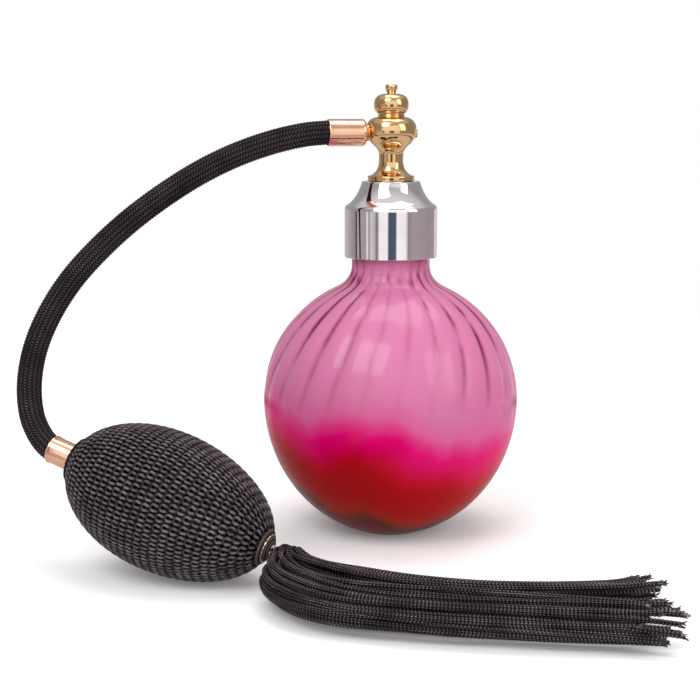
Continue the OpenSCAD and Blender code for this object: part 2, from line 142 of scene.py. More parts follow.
class Soup:
    """Grids of faces gathered into one mesh, in millimetres, with a place along and across as UV."""

    def __init__(self):
        self.points, self.faces, self.uvs, self.tones, self.count = [], [], [], [], 0

    def grid(self, pts, closed, middle=None, u=None, v=None, tone=None, cap=False):
        """pts is rows x columns x 3. middle, one point a row, says which side is inside."""
        rows, cols = pts.shape[:2]
        u = np.arange(rows, dtype=float) if u is None else np.asarray(u, float)
        v = np.linspace(0, 1, cols + 1 if closed else cols) if v is None else v
        r, c = np.meshgrid(
            np.arange(rows - 1), np.arange(cols if closed else cols - 1), indexing="ij"
        )
        r, c = r.ravel(), c.ravel()
        d = (c + 1) % cols
        quads = np.stack([r * cols + c, (r + 1) * cols + c, (r + 1) * cols + d, r * cols + d], 1)
        uv = np.stack(
            [
                np.stack([u[r], v[c]], 1),
                np.stack([u[r + 1], v[c]], 1),
                np.stack([u[r + 1], v[c + 1]], 1),
                np.stack([u[r], v[c + 1]], 1),
            ],
            1,
        )
        flat = pts.reshape(-1, 3)
        if middle is not None:
            k = slice(0, None, max(1, len(quads) // 400))
            a, b, e = (flat[quads[k, i]] for i in (0, 1, 3))
            out = flat[quads[k, 0]] - np.asarray(middle)[r[k]]
            if (np.cross(b - a, e - a) * out).sum() < 0:
                quads, uv = quads[:, ::-1], uv[:, ::-1]
        self.points.append(flat)
        self.faces.append(quads + self.count)
        self.uvs.append(uv)
        self.tones.append(np.zeros(len(flat)) if tone is None else np.asarray(tone, float).ravel())
        self.count += len(flat)
        if cap:
            self._cap(pts[0], u[0])
            self._cap(pts[-1], u[-1])

    def _cap(self, ring, u):
        """Closes a ring with quads that end in its middle."""
        n = len(ring)
        centre = ring.mean(0)
        rings = np.stack([ring, np.repeat(centre[None], n, 0)])
        flat = rings.reshape(-1, 3)
        c = np.arange(n)
        d = (c + 1) % n
        self.points.append(flat)
        self.faces.append(np.stack([c, d, n + d, n + c], 1) + self.count)
        self.uvs.append(np.full((n, 4, 2), u))
        self.tones.append(np.zeros(len(flat)))
        self.count += len(flat)

    def build(self, name, sharp=None, weld=False):
        points = np.concatenate(self.points) * MM
        faces = np.concatenate(self.faces)
        mesh = bpy.data.meshes.new(name)
        mesh.vertices.add(len(points))
        mesh.vertices.foreach_set("co", points.astype(np.float32).ravel())
        mesh.loops.add(faces.size)
        mesh.loops.foreach_set("vertex_index", faces.astype(np.int32).ravel())
        mesh.polygons.add(len(faces))
        mesh.polygons.foreach_set("loop_start", np.arange(0, faces.size, 4, dtype=np.int32))
        mesh.update(calc_edges=True)
        layer = mesh.uv_layers.new(name="UVMap")
        layer.data.foreach_set("uv", np.concatenate(self.uvs).astype(np.float32).ravel())
        # This point attribute carries painted light: shade painted between stitches and into the bottle's
        # creases, highlights painted on the yarn's crowns.
        tone = mesh.attributes.new("tone", "FLOAT", "POINT")
        tone.data.foreach_set("value", np.concatenate(self.tones).astype(np.float32))
        if weld:
            bm = bmesh.new()
            bm.from_mesh(mesh)
            bmesh.ops.remove_doubles(bm, verts=bm.verts, dist=1e-7)
            bm.to_mesh(mesh)
            bm.free()
        mesh.validate()
        mesh.polygons.foreach_set("use_smooth", np.ones(len(mesh.polygons), bool))
        if sharp:
            mesh.set_sharp_from_angle(angle=math.radians(sharp))
        obj = bpy.data.objects.new(name, mesh)
        scene.collection.objects.link(obj)
        return obj


def tube(soup, line, radius, sides, up=(0, 0, 1), cap=True):
    """A round tube along a line. radius is a number or one number a point."""
    _, a, b = frames_along(line, up)
    phi = np.arange(sides) * TAU / sides
    radius = np.broadcast_to(np.asarray(radius, float), (len(line),))
    pts = line[:, None] + spokes(a, b, phi) * radius[:, None, None]
    soup.grid(pts, True, line, u=lengths_along(line), cap=cap)


def lathe(name, profile, segments=128, sharp=28, matrix=None, ripple=None):
    """A closed solid from a profile of (radius, height), turned round Z or round the local X of matrix."""
    p = np.array(profile, float)
    phi = np.arange(segments) * TAU / segments
    pts = np.stack(
        [
            p[:, 0, None] * np.cos(phi)[None],
            p[:, 0, None] * np.sin(phi)[None],
            np.repeat(p[:, 1, None], segments, 1),
        ],
        2,
    )
    if ripple is not None:
        pts = ripple(pts)
    if matrix is not None:
        pts = placed(np.stack([pts[..., 2], pts[..., 1], -pts[..., 0]], 2), matrix)
    soup = Soup()
    soup.grid(pts, True, u=lengths_along(np.column_stack([p, np.zeros(len(p))])))
    obj = soup.build(name, sharp, weld=True)
    bm = bmesh.new()
    bm.from_mesh(obj.data)
    bmesh.ops.recalc_face_normals(bm, faces=bm.faces)
    bm.to_mesh(obj.data)
    bm.free()
    return obj


# ---- frames of the CAD part, in millimetres ----


def turned(place, pitch, yaw):
    """Local X points down by pitch and to the left of +X by minus yaw, as part.scad turns its frames."""
    rot = Matrix.Rotation(math.radians(-yaw), 4, "Z") @ Matrix.Rotation(math.radians(pitch), 4, "Y")
    return Matrix.Translation(Vector(place)) @ rot


def at(matrix, x, y=0.0, z=0.0):
    return np.array(matrix @ Vector((x, y, z)))


spigot_h, spigot_yaw = 118.9, -192
bulb_centre, bulb_pitch, bulb_yaw = (-61, -50, 20.2), 18, 22
tassel_pitch, tassel_yaw = 24, 50
bulb_a, bulb_b, egg = 31.0, 19.0, 0.05  # half length, half width, and how much fatter the hose end is
knot_gap = 2
head_frame = turned((0, 0, spigot_h), 0, spigot_yaw)
bulb_frame = turned(bulb_centre, bulb_pitch, bulb_yaw)
pivot = at(bulb_frame, bulb_a + knot_gap)
wrap_frame = turned(pivot, tassel_pitch, tassel_yaw)

# ---- materials ----


class Nodes:
    """Short calls for the nodes of a material or of the world."""

    def __init__(self, tree):
        self.tree = tree

    def node(self, kind, inputs=(), **settings):
        n = self.tree.nodes.new("ShaderNode" + kind)
        for key, value in settings.items():
            setattr(n, key, value)
        for key, value in dict(inputs).items():
            if isinstance(value, bpy.types.NodeSocket):
                self.tree.links.new(value, n.inputs[key])
            else:
                n.inputs[key].default_value = value
        return n

    def remap(self, value, low, high, to_low=0, to_high=1):
        return self.node(
            "MapRange",
            {"Value": value, "From Min": low, "From Max": high, "To Min": to_low, "To Max": to_high},
        ).outputs[0]

    def math(self, op, a, b=0.0, c=0.0, clamp=False):
        return self.node("Math", {0: a, 1: b, 2: c}, operation=op, use_clamp=clamp).outputs[0]

    def ramp(self, value, stops):
        """A colour for each value, from stops of (value, colour)."""
        n = self.node("ValToRGB", {"Fac": value})
        elements = n.color_ramp.elements
        while len(elements) > 1:
            elements.remove(elements[-1])
        elements[0].position, elements[0].color = stops[0][0], (*stops[0][1], 1)
        for place, colour in stops[1:]:
            elements.new(place).color = (*colour, 1)
        return n.outputs["Color"]

    def mix(self, fac, a, b, blend="MIX"):
        """Colour a turned into b by fac. Each is a node's output or a plain value."""
        n = self.node("Mix", data_type="RGBA", blend_type=blend)
        for index, value in ((0, fac), (6, a), (7, b)):
            if isinstance(value, bpy.types.NodeSocket):
                self.tree.links.new(value, n.inputs[index])
            else:
                n.inputs[index].default_value = (*value, 1) if index > 0 else value
        return n.outputs[2]


class Look(Nodes):
    """A node material with a Principled shader."""

    def __init__(self, name, **values):
        self.mat = bpy.data.materials.new(name)
        self.mat.use_nodes = True
        super().__init__(self.mat.node_tree)
        self.bsdf = self.tree.nodes["Principled BSDF"]
        for key, value in values.items():
            self.set(key.replace("_", " "), value)

    def set(self, socket, value):
        self.bsdf.inputs[socket].default_value = value

    def link(self, out, socket):
        self.tree.links.new(out, self.bsdf.inputs[socket])

    def noise(self, scale, detail=3.0, stretch=(1, 1, 1), rough=0.5):
        source = self.node("TexCoord").outputs["Object"]
        place = self.node("Mapping", {"Vector": source, "Scale": stretch}).outputs[0]
        inputs = {"Vector": place, "Scale": scale, "Detail": detail, "Roughness": rough}
        return self.node("TexNoise", inputs).outputs["Fac"]

    def attribute(self, name):
        return self.node("Attribute", attribute_name=name).outputs["Fac"]

    def bump(self, height, strength, distance):
        n = self.node("Bump", {"Height": height, "Strength": strength, "Distance": distance})
        self.link(n.outputs[0], "Normal")


def metal(name, colour, deep, rough, worn=0.02):
    """Plated, polished metal: faint cloudiness, hairlines and small wear."""
    look = Look(name, Metallic=1.0)
    cloud = look.noise(260, 4)
    look.link(look.mix(look.remap(cloud, 0.35, 0.7, 0, 1), colour, deep), "Base Color")
    hair = look.noise(900, 2, stretch=(1, 1, 14))
    spots = look.remap(look.noise(1500, 5, rough=0.7), 0.55, 0.75, 0, worn)
    base = look.remap(hair, 0.3, 0.7, rough * 0.7, rough * 1.35)
    look.link(look.math("ADD", base, spots), "Roughness")
    look.bump(look.math("ADD", hair, cloud), 0.05, 0.00004)
    return look.mat


def moulded(name, colour, rough, transmission=0.0):
    """Moulded plastic or rubber: fine grain and slight unevenness of colour."""
    look = Look(name)
    look.set("Transmission Weight", transmission)
    shade = tuple(c * 0.82 for c in colour)
    look.link(look.mix(look.noise(400, 3), colour, shade), "Base Color")
    grain = look.noise(5200, 2)
    look.link(look.remap(grain, 0.3, 0.7, rough * 0.8, rough * 1.2), "Roughness")
    look.bump(grain, 0.12, 0.00005)
    return look.mat


def yarn(name, dark, painted_highlight, crown, patch_scale=120):
    """Black yarn with painted light. A point attribute is 0 between the stitches, where shade is painted,
    and 1 on their crowns, where a highlight is painted, and crown narrows these highlights.
    """
    look = Look(name, Roughness=0.5)
    look.set("Sheen Weight", 0.006)
    look.set("Sheen Roughness", 0.35)
    look.set("Sheen Tint", (0.80, 0.72, 0.74, 1))
    look.set("Specular IOR Level", 0.05)
    fine = look.noise(5200, 3, rough=0.65)
    # Painted light: a painted highlight colour on the crowns, painted shade in the gaps between stitches.
    crown_highlights = look.math("POWER", look.attribute("tone"), crown)
    fibre = look.remap(fine, 0.36, 0.62, 0.35, 1.25)
    patch = look.remap(look.noise(patch_scale, 2), 0.32, 0.68, 0.55, 1.25)
    tone = look.math("MULTIPLY", look.math("MULTIPLY", crown_highlights, fibre), patch, clamp=True)
    look.link(look.mix(tone, dark, painted_highlight), "Base Color")
    look.link(look.remap(fine, 0.3, 0.7, 0.42, 0.66), "Roughness")
    look.bump(fine, 0.7, 0.00005)
    return look.mat


def glass_look():
    """Milky pink glass, magenta, red and crimson towards its thick base, with shade painted into its
    creases.
    """
    look = Look("glass")
    look.set("IOR", 1.22)
    look.set("Transmission Weight", 0.04)
    look.set("Specular IOR Level", 0.3)
    look.set("Coat Roughness", 0.12)
    place = look.node("SeparateXYZ", {0: look.node("TexCoord").outputs["Object"]})
    look.link(look.remap(place.outputs[2], 0.032, 0.055, 0, 0.45), "Coat Weight")
    level = look.math("MULTIPLY", place.outputs[2], 10.0)
    level = look.math("MULTIPLY_ADD", place.outputs[0], 0.5, level)
    waves = [(22, 1, 0.6, 0.045), (55, 2, 0.35, 0.020), (140, 3, 0.25, 0.008)]
    for scale, detail, flat, reach in waves:
        wave = look.remap(look.noise(scale, detail, stretch=(1, 1, flat)), 0.3, 0.7, -reach, reach)
        level = look.math("ADD", level, wave)
    body = look.ramp(
        level,
        [
            (0.00, (0.11, 0.0005, 0.008)), (0.060, (0.14, 0.001, 0.010)), (0.075, (0.08, 0.008, 0.006)),
            (0.092, (0.12, 0.012, 0.004)), (0.112, (0.28, 0.010, 0.001)), (0.15, (0.32, 0.0003, 0.001)),
            (0.225, (0.35, 0.0002, 0.003)), (0.262, (0.47, 0.0003, 0.02)), (0.300, (0.60, 0.0004, 0.095)),
            (0.335, (0.68, 0.002, 0.15)), (0.362, (0.66, 0.035, 0.20)), (0.395, (0.62, 0.115, 0.285)),
            (0.45, (0.59, 0.160, 0.32)), (0.55, (0.60, 0.185, 0.345)), (0.90, (0.57, 0.17, 0.33)),
        ],
    )
    streak = look.remap(look.noise(48, 3, stretch=(1, 1, 0.12)), 0.35, 0.7, 0, 0.16)
    body = look.mix(streak, body, (0.85, 0.45, 0.62), "SOFT_LIGHT")
    broken = look.remap(look.noise(130, 2, stretch=(1, 1, 0.4)), 0.36, 0.60, 0.25, 1.25)
    # Painted shade in the creases, broken up by noise, mixed towards dark crimson.
    crease_shade = look.math("MULTIPLY", look.attribute("tone"), broken, clamp=True)
    body = look.mix(crease_shade, body, (0.20, 0.001, 0.035))
    look.link(body, "Base Color")
    look.link(look.remap(look.noise(500, 3), 0.3, 0.7, 0.16, 0.26), "Roughness")
    look.bump(look.noise(70, 3), 0.10, 0.0004)
    return look.mat


chrome = metal("chrome", (0.84, 0.79, 0.81), (0.77, 0.72, 0.74), 0.05)
gold = metal("gold", (0.75, 0.50, 0.26), (0.67, 0.42, 0.195), 0.07)
rose_gold = metal("rose_gold", (0.88, 0.53, 0.36), (0.80, 0.45, 0.30), 0.13)
brass = metal("brass", (0.78, 0.62, 0.34), (0.66, 0.50, 0.26), 0.2)
steel = metal("steel", (0.70, 0.70, 0.72), (0.60, 0.60, 0.63), 0.12)
seal = moulded("seal_rubber", (0.80, 0.80, 0.78), 0.45)
clear_plastic = moulded("clear_plastic", (0.90, 0.88, 0.87), 0.22, 0.35)
tube_plastic = moulded("tube_plastic", (0.93, 0.90, 0.91), 0.15, 0.8)
bladder_rubber = moulded("bulb_rubber", (0.012, 0.010, 0.011), 0.6)
# The lighter colour of each yarn is a painted highlight on its crowns; the darker one is the black with
# painted shade between stitches.
braid_yarn = yarn("black_braid", (0.002, 0.0015, 0.002), (0.110, 0.086, 0.094), crown=3.0)
knit_yarn = yarn("black_knit", (0.003, 0.002, 0.0025), (0.22, 0.18, 0.19), patch_scale=260, crown=4.2)
cord_yarn = yarn("black_cord", (0.003, 0.002, 0.0025), (0.52, 0.41, 0.44), crown=2.6)
glass = glass_look()


def wear(obj, material, body, replaced=()):
    """Gives a new piece its material, its body and the CAD nodes that it stands for."""
    obj.data.materials.clear()
    obj.data.materials.append(material)
    if replaced:
        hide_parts(*replaced)
    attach(obj, body)
    return obj


# ---- hose ----

route = [
    (-8.8, -1.9, 118.9), (-14, -3, 118.9), (-19, -4, 118.9), (-26, -5.4, 118.2),
    (-35, -7, 116.1), (-45, -8.7, 112.6), (-55, -10.4, 107.8), (-65, -12.4, 101.6),
    (-75, -14.6, 94.2), (-84, -16.8, 86), (-91.5, -19.1, 77.6), (-97.5, -21.5, 68.2),
    (-101.4, -24, 58.6), (-102.8, -27, 49.2), (-101.7, -30.6, 41), (-98.8, -33.9, 35.5),
    (-95.4, -36.1, 32.3), (-92.2, -37.4, 31.1), (-89.3, -38.6, 30.1),
]
hose_line = resample(smooth_line(route, 12), 900)
hose_length = lengths_along(hose_line)[-1]
hose_r = 3.6


def hose_braid():
    """A rubber core with 16 and 16 flat strands plaited over two and under two."""
    soup = Soup()
    core_r, mid_r, weave = hose_r - 0.48, hose_r - 0.36, 0.15
    tube(soup, resample(hose_line, 160), core_r, 24)
    strands, angle = 16, math.radians(56)
    turn = math.tan(angle) / mid_r
    step = 0.42 * math.cos(angle)
    count = int(hose_length / step)
    z = np.linspace(0, hose_length, count)
    s = lengths_along(hose_line)
    t, u, v = frames_along(hose_line)
    centre = np.stack([np.interp(z, s, hose_line[:, k]) for k in range(3)], 1)
    tt, uu, vv = (np.stack([np.interp(z, s, w[:, k]) for k in range(3)], 1) for w in (t, u, v))
    crossing = strands * turn * z / math.pi
    section = [(-0.41, -0.24), (-0.24, 0.08), (0.0, 0.19), (0.24, 0.08), (0.41, -0.24)]
    for way in (1, -1):
        for i in range(strands):
            phi = TAU * i / strands + way * turn * z
            shift = 0.5 if way == 1 else 2.5
            height = np.cos(TAU * (2 * i + way * crossing - shift) / 4)
            radial = np.cos(phi)[:, None] * uu + np.sin(phi)[:, None] * vv
            around = -np.sin(phi)[:, None] * uu + np.cos(phi)[:, None] * vv
            side = around * math.cos(angle) - way * tt * math.sin(angle)
            r = mid_r + weave * height
            # Painted highlight where a strand passes over and along its middle, painted shade where it
            # passes under and at its edges.
            tone = np.stack([(0.5 + 0.5 * height) * share for share in (0.0, 0.7, 1.0, 0.7, 0.0)], 1)
            pts = np.stack(
                [centre + radial * (r + up)[:, None] + side * out for out, up in section], 1
            )
            soup.grid(pts, False, centre, u=z / math.cos(angle), tone=tone)
    return soup.build("hose")


hose = wear(hose_braid(), braid_yarn, "head", ("hose_sleeve", "hose_liner"))

# ---- bottle ----


belly_r, belly_h = 38, 40
above_h, below_h = 36.8, 41.5  # half heights of the body's ovals above and below its widest level
inner_r, inner_above_h, inner_below_h = 35, 33.8, 34
shoulder_r, inner_shoulder_r = 16.5, 13
throat_r, neck_r, thread_r, bore_r = 11.6, 10.2, 10.7, 7.2
flute_pairs, swirl, swirl_h = 12, 0.0065, 60  # swirl in radians a millimetre, none at swirl_h


def bottle_profile():
    """Outside from the middle of the foot up to the lip, and the inside back down."""
    foot_a = math.degrees(math.asin(belly_h / below_h))
    shoulder_a = math.degrees(math.acos(shoulder_r / belly_r))
    inner_a = math.degrees(math.acos(inner_shoulder_r / inner_r))
    shoulder_h = belly_h + above_h * math.sin(math.radians(shoulder_a))
    inner_h = belly_h + inner_above_h * math.sin(math.radians(inner_a))
    foot_r = belly_r * math.cos(math.radians(foot_a))
    outside = [(0, 0.9), (foot_r * 0.55, 0.8), (foot_r - 1.2, 0.35)]
    outside += [(foot_r - 0.5, 0.0), (foot_r + 0.4, 0.05)]
    outside += oval(belly_r, below_h, belly_h, -foot_a + 1.2, 0, 60)
    outside += oval(belly_r, above_h, belly_h, 1.2, shoulder_a, 60)
    outside += bend((shoulder_r, shoulder_h + 0.02), (throat_r, shoulder_h + 2.3), (throat_r, 80), 14)
    outside += [(throat_r, 83.8), (11.3, 84.2), (neck_r, 84.6), (neck_r, 90.2), (thread_r, 91.0)]
    outside += [(thread_r, 92.0), (neck_r, 92.8), (neck_r, 95.1), (9.8, 95.5), (7.6, 95.5), (bore_r, 95.2)]
    inside = [(bore_r, 88), (bore_r, 80)]
    inside += bend((bore_r, 80), (bore_r, inner_h + 2.5), (inner_shoulder_r, inner_h + 0.02), 10)
    inside += oval(inner_r, inner_above_h, belly_h, inner_a, 4, 30)
    inside += oval(inner_r, inner_below_h, belly_h, 0, -90, 34)
    return outside, inside


def flute_angle(x, y, z):
    """The angle round the bottle, turned with the height as the flutes are."""
    return np.arctan2(y, x) - swirl * (z - swirl_h)


def sideways(x, r):
    """0 on the front and back of the bottle, rising to 1 on its two sides."""
    return np.clip((np.abs(x) / np.maximum(r, 1e-6) - 0.25) / 0.55, 0, 1)


def flutes(pts):
    """Shallow flutes on the shoulder, slightly swirled, that run out below the widest level."""
    x, y, z = pts[..., 0], pts[..., 1], pts[..., 2]
    r = np.hypot(x, y)
    lobe = np.sqrt(np.cos(flute_pairs * flute_angle(x, y, z)) ** 2 + 0.012)
    fade = np.clip((z - 30) / 26, 0, 1) ** 1.3 * np.clip((81.5 - z) / 3, 0, 1)
    depth = 0.95 * fade * np.clip(r / 24, 0.45, 1) * (0.4 + 0.6 * sideways(x, r))
    grow = np.where(r > 0, 1 - depth * (1 - lobe) / np.maximum(r, 1e-6), 1)
    return np.stack([x * grow, y * grow, z], 2)


def painted_crease_shade(co):
    """Painted shade in the creases at each outer point, strongest on the two sides, with a painted shaded
    rim on the sides just below the collar and crimson beads a little lower.
    """
    x, y, z = co.T / MM
    a = flute_angle(x, y, z)
    line = np.exp(-((np.cos(flute_pairs * a) / 0.34) ** 2))
    sides = 0.22 + 0.78 * sideways(x, np.hypot(x, y))
    fade = np.clip((z - 40) / 26, 0, 1) ** 0.8 * np.clip((82 - z) / 6, 0.25, 1)
    turn = np.sin(5 * a + 1.0) * np.sin(11 * a)
    beads = np.exp(-(((z - 76.6 - 1.5 * turn) / 1.3) ** 2))
    beads = beads * np.exp(-((np.cos(flute_pairs * a + 0.8) / 0.5) ** 2))
    # painted shade on the two sides, just below the collar
    rim = 0.55 * np.clip((z - 79) / 3, 0, 1) * sides
    return np.clip(1.1 * line * fade * sides + 0.7 * beads + rim, 0, 1)


def bottle_mesh():
    outside, inside = bottle_profile()
    segments = 336
    split = len(outside)
    profile = np.array(outside + inside, float)

    def shaped(pts):
        out = pts.copy()
        out[:split] = flutes(pts[:split])
        return out

    obj = lathe("bottle_glass", profile, segments, 40, ripple=shaped)
    co = np.empty(len(obj.data.vertices) * 3, np.float32)
    obj.data.vertices.foreach_get("co", co)
    co = co.reshape(-1, 3).astype(float)
    # painted shade in the creases, kept to the outside and the neck
    tone = painted_crease_shade(co)
    height = co[:, 2] / MM
    r = np.hypot(co[:, 0], co[:, 1]) / MM
    half_h = np.where(height > belly_h, above_h, below_h)
    on_outside = (r / belly_r) ** 2 + ((height - belly_h) / half_h) ** 2 > 0.9
    tone = np.where(on_outside | (height > 74), tone, 0)
    obj.data.attributes["tone"].data.foreach_set("value", tone.astype(np.float32))
    return obj


wear(bottle_mesh(), glass, "bottle_body", ("bottle",))

# ---- collar and head ----

ball_h, finial_h = 119.2, 124.3


def collar_profile():
    outside = [(12.9, 82.5), (13.1, 82.35), (13.5, 82.35), (13.7, 82.6)]
    outside += bend((13.7, 96.2), (13.7, 97.5), (12.9, 97.8), 10)
    outside += bend((12.89, 97.81), (10.1, 99.6), (8.6, 104.5), 26) + [(8.4, 104.7)]
    inside = [(3.75, 104.7), (3.75, 103.9), (7.8, 103.9), (9.3, 99.2), (12.0, 97.1), (12.9, 96.4)]
    return outside + inside + [outside[0]]


def head_profile():
    """The turned metal of the head, from its tail in the collar to the seat of the finial."""
    out = [(0, 99), (3.62, 99), (3.62, 104.75), (6.5, 104.75)]
    out += bend((6.6, 104.8), (6.9, 104.8), (6.9, 105.15), 4)
    out += bend((6.9, 105.95), (6.9, 106.3), (6.6, 106.35), 4)
    out += [(6.25, 106.4)] + bend((6.1, 106.42), (3.6, 107.6), (3.6, 110.6), 20)
    out += bend((3.6, 112.4), (3.6, 113.9), (5.1, 115.1), 14)
    out += bend((5.11, 115.11), (7.5, 117.2), (7.5, ball_h), 24)
    out += bend((7.5, ball_h + 0.05), (7.5, 122.6), (4.75, 123.3), 28)
    out += [(4.55, 123.36), (4.05, 123.4)] + bend((3.9, 123.42), (4.05, 123.6), (3.9, 123.8), 4)
    out += [(3.72, 123.86)] + bend((3.72, 123.9), (4.05, 124.05), (3.75, 124.26), 4) + [(0, 124.26)]
    return out


def finial_profile():
    out = [(0, finial_h), (3.9, finial_h)]
    out += bend((4.0, finial_h + 0.1), (5.1, finial_h + 0.9), (5.1, finial_h + 2.6), 16)
    out += bend((5.1, finial_h + 2.65), (5.1, finial_h + 5.3), (2.4, finial_h + 5.8), 22)
    out += [(1.6, finial_h + 5.84), (1.25, finial_h + 5.95), (1.22, finial_h + 6.15)]
    out += bend((1.3, finial_h + 6.3), (1.78, finial_h + 6.9), (1.78, finial_h + 7.7), 10)
    out += bend((1.78, finial_h + 8.0), (1.75, finial_h + 8.45), (1.1, finial_h + 8.5), 8)
    return out + [(0, finial_h + 8.5)]


wear(lathe("collar_skin", collar_profile(), 160), chrome, "collar", ("collar_shell",))
wear(lathe("head_turning", head_profile(), 160), gold, "head", ("head_body",))
wear(lathe("finial_turning", finial_profile(), 128), gold, "head", ("finial",))

nozzle = [(0, -7.30), (0.32, -7.30), (0.34, -7.46), (0.9, -7.58), (1.1, -7.66), (1.5, -7.66)]
nozzle += [(1.65, -7.56), (1.65, -6.6), (0, -6.6)]
wear(lathe("nozzle_face", nozzle, 48, matrix=head_frame), gold, "head", ("nozzle_insert",))

ferrule = [(1.95, 7.8)] + bend((2.75, 7.8), (3.95, 7.8), (3.95, 9.0), 10)
ferrule += [(3.95, 17.9), (3.88, 17.98), (3.88, 18.12), (3.95, 18.2), (3.95, 18.8), (3.85, 18.98)]
ferrule += [(3.66, 18.98), (3.66, 8.7), (1.95, 8.7), (1.95, 7.8)]
head_ferrule = lathe("head_ferrule_skin", ferrule, 96, matrix=head_frame)
wear(head_ferrule, rose_gold, "head", ("head_ferrule",))
ferrule = [(3.66, -38.45), (3.86, -38.48), (4.0, -38.3), (4.0, -37.75), (3.85, -37.6), (3.85, -31.4)]
ferrule += [(3.7, -31.05), (1.95, -31.0), (1.95, -31.9), (3.66, -31.9), (3.66, -38.45)]
bulb_ferrule = lathe("bulb_ferrule_skin", ferrule, 96, matrix=bulb_frame)
wear(bulb_ferrule, rose_gold, "head", ("bulb_ferrule",))

# ---- bulb ----


def egg_points(a, b, n=240):
    """The bulb's outline from hose end to tail as (x, radius), its lengths and its outward normals."""
    t = np.linspace(0, math.pi, n)
    line = np.stack([-a * np.cos(t), b * np.sin(t) * (1 + egg * np.cos(t))], 1)
    d = np.gradient(line, axis=0)
    d /= np.linalg.norm(d, axis=1)[:, None]
    return line, lengths_along(line), np.stack([-d[:, 1], d[:, 0]], 1)


def knit_net():
    """Rings of knitted yarn round the bulb's axis. Each loop reaches through the next ring."""
    sunk, mouth_r, tail_r = 0.55, 4.35, 4.1
    rows, stitch_w, steps, yarn_r, lift_h = 30, 2.75, 12, 0.46, 0.34
    line, s, normal = egg_points(bulb_a - sunk, bulb_b - sunk)
    half = len(line) // 2
    start = np.interp(mouth_r, line[:half, 1], s[:half])
    end = s[-1] - np.interp(tail_r, line[: half - 1 : -1, 1], s[-1] - s[: half - 1 : -1])
    gap = (end - start) / rows
    halves = [Soup(), Soup()]
    for row in range(rows + 1):
        level = start + gap * row
        radius = np.interp(level, s, line[:, 1])
        count = max(11, round(TAU * radius / stitch_w))
        pitch = TAU * radius / count
        share = min(1.0, pitch / 2.5)
        t = np.arange(count * steps) / steps
        jitter = rng.uniform(0, 1)
        reach = 0.66 * gap * (0.8 if row in (0, rows) else 1)
        along = level - reach * np.cos(TAU * t)
        along = np.clip(along, s[0] + 3.6, s[-1] - 3.4)
        phi = (t + jitter + 0.15 * np.sin(2 * TAU * t)) * TAU / count
        lift = share * (-lift_h * np.cos(2 * TAU * t) + lift_h * np.cos(TAU * t))
        x = np.interp(along, s, line[:, 0]) + lift * np.interp(along, s, normal[:, 0])
        r = np.interp(along, s, line[:, 1]) + lift * np.interp(along, s, normal[:, 1])
        path = placed(np.stack([x, r * np.sin(phi), -r * np.cos(phi)], 1), bulb_frame)
        closed = np.vstack([path, path[:1]])
        tube(halves[row > rows // 2], closed, yarn_r * share, 7, cap=False)
    return halves


def bladder():
    """The rubber that shows between the stitches."""
    a, b, end_r = 29.6, 17.55, 0.4
    profile = [(end_r, -a)]
    for t in np.linspace(0.05, math.pi - 0.05, 60):
        profile.append((b * math.sin(t) * (1 + egg * math.cos(t)), -a * math.cos(t)))
    return lathe("bladder", profile + [(end_r, a)], 72, matrix=bulb_frame)


def painted_crown_highlight(soup):
    """Paints a highlight on the crowns of the stitches and shade deep in the net: 0 deep in the net, 1 on
    its outermost points.
    """
    for k, pts in enumerate(soup.points):
        local = placed(pts, bulb_frame.inverted())
        x, rho = local[:, 0], np.hypot(local[:, 1], local[:, 2])
        b = bulb_b * (1 - egg * x / bulb_a)
        level = (x / bulb_a) ** 2 + (rho / b) ** 2 - 1
        above = level / (2 * np.sqrt(x**2 / bulb_a**4 + rho**2 / b**4))
        soup.tones[k] = np.clip((above + 0.75) / 1.0, 0, 1)


net_pieces = []
for soup, name in zip(knit_net(), ("net_front", "net_tail")):
    painted_crown_highlight(soup)
    net_pieces.append(wear(soup.build(name), knit_yarn, "head"))
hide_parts("bulb_net")
bulb_skin = wear(bladder(), bladder_rubber, "head", ("bulb_rubber",))


def ring_cord(soup, x, radius, thick, turns, plies=2, sides=7):
    """A twisted cord tied in a ring round the bulb's axis."""
    t = np.linspace(0, 1, 121)
    for ply in range(plies):
        spin = TAU * (turns * t + ply / plies)
        r = radius + 0.5 * thick * np.cos(spin)
        pts = np.stack([x + 0.5 * thick * np.sin(spin), r * np.sin(TAU * t), -r * np.cos(TAU * t)], 1)
        tube(soup, placed(pts, bulb_frame), thick * 0.62, sides, cap=False)
        # Painted highlight on the crown of each ply, painted shade where the plies meet.
        soup.tones[-1] = np.repeat(0.32 + 0.32 * np.cos(spin), sides)


loop = Soup()
tail_rings = [(0.4, 1.95, 0.6), (-0.1, 2.85, 0.65), (-0.6, 3.7, 0.65), (-1.05, 4.45, 0.65)]
for x, radius, thick in tail_rings:
    ring_cord(loop, bulb_a + x, radius, thick, round(6 * radius) + 3)
wear(loop.build("tail_ties"), cord_yarn, "head", ("tassel_loop",))
loop = Soup()
ring_cord(loop, -bulb_a + 0.55, 4.35, 0.8, 18)
ring_cord(loop, -bulb_a + 1.35, 6.0, 0.8, 22)
wear(loop.build("front_ties"), knit_yarn, "head")

# ---- tassel ----

cord_r, stitch = 0.74, 0.92
skirt_stations = [  # middle, width and height
    ((-29.7, -64.4, 8.5), 4, 4), ((-27.9, -66.6, 7.2), 7, 6.8),
    ((-27.6, -69.7, 6.6), 14, 11), ((-26.2, -74, 6.5), 20, 12.4), ((-21.4, -80.8, 6.5), 25, 12.8),
    ((-12.5, -87.4, 6.4), 28, 12.4), ((0.5, -92, 6.1), 27, 11.8), ((18, -95, 5.8), 28, 11.2),
    ((37, -95.8, 5.5), 33, 10.6), ((54, -95.3, 5.2), 38, 10.4), ((62, -94.9, 5.3), 43, 10.8),
    ((70.5, -94.6, 5.6), 51, 11.4),
]


